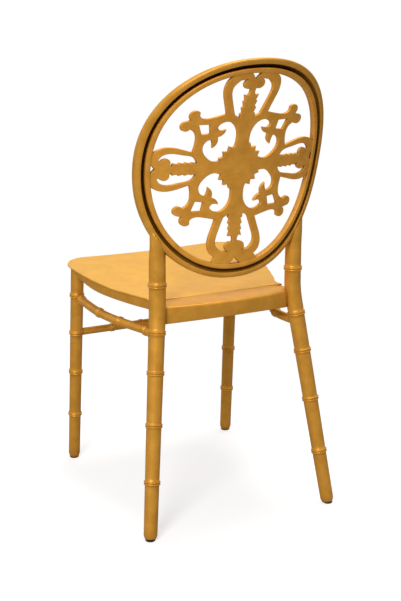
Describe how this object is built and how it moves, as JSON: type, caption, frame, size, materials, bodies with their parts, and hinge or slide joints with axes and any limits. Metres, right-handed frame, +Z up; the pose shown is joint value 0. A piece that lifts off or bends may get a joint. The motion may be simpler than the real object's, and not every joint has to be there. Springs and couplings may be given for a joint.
{
  "type": "stacking banquet chair",
  "caption": "Gold banquet chair with bamboo-ringed round legs, a thin hollowed seat, bowed side stretchers and an oval hoop back around a pierced filigree insert.",
  "frame": {"origin": "middle of the chair's outline on the floor", "axes": "+Z up, the sitter looks along -Y, x = 0 is the plane of symmetry, +X is the sitter's left"},
  "size_m": [0.4134, 0.4979, 0.8958],
  "materials": {
    "gold_resin": "satin warm gold",
    "gold_insert": "satin warm gold",
    "gold_seat": "satin light gold",
    "block_resin": "plain moulded",
    "zinc_steel": "zinc plated",
    "insert_brass": "turned",
    "dowel_wood": "plain beech",
    "glide_nylon": "moulded"
  },
  "bodies": {
    "root": {"back_hoop": "gold_resin", "rear_leg_left": "gold_resin", "rear_leg_right": "gold_resin", "front_leg_left": "gold_resin", "front_leg_right": "gold_resin", "rear_rail": "gold_resin", "side_rail_left": "gold_resin", "side_rail_right": "gold_resin", "front_rail": "gold_resin", "side_stretcher_left": "gold_resin", "side_stretcher_right": "gold_resin", "front_stretcher": "gold_resin", "back_panel": "gold_insert", "seat_panel": "gold_seat", "front_block_left": "block_resin", "front_block_right": "block_resin", "rear_block_left": "block_resin", "rear_block_right": "block_resin", "front_bolts": "zinc_steel", "rear_bolts": "zinc_steel", "bolt_washers": "zinc_steel", "hoop_pins": "zinc_steel", "tenon_pins": "zinc_steel", "seat_screws": "zinc_steel", "panel_screws": "zinc_steel", "leg_inserts": "insert_brass", "rail_dowels": "dowel_wood", "foot_glide_front_left": "glide_nylon", "foot_glide_front_right": "glide_nylon", "foot_glide_rear_left": "glide_nylon", "foot_glide_rear_right": "glide_nylon"}
  },
  "joints": []
}
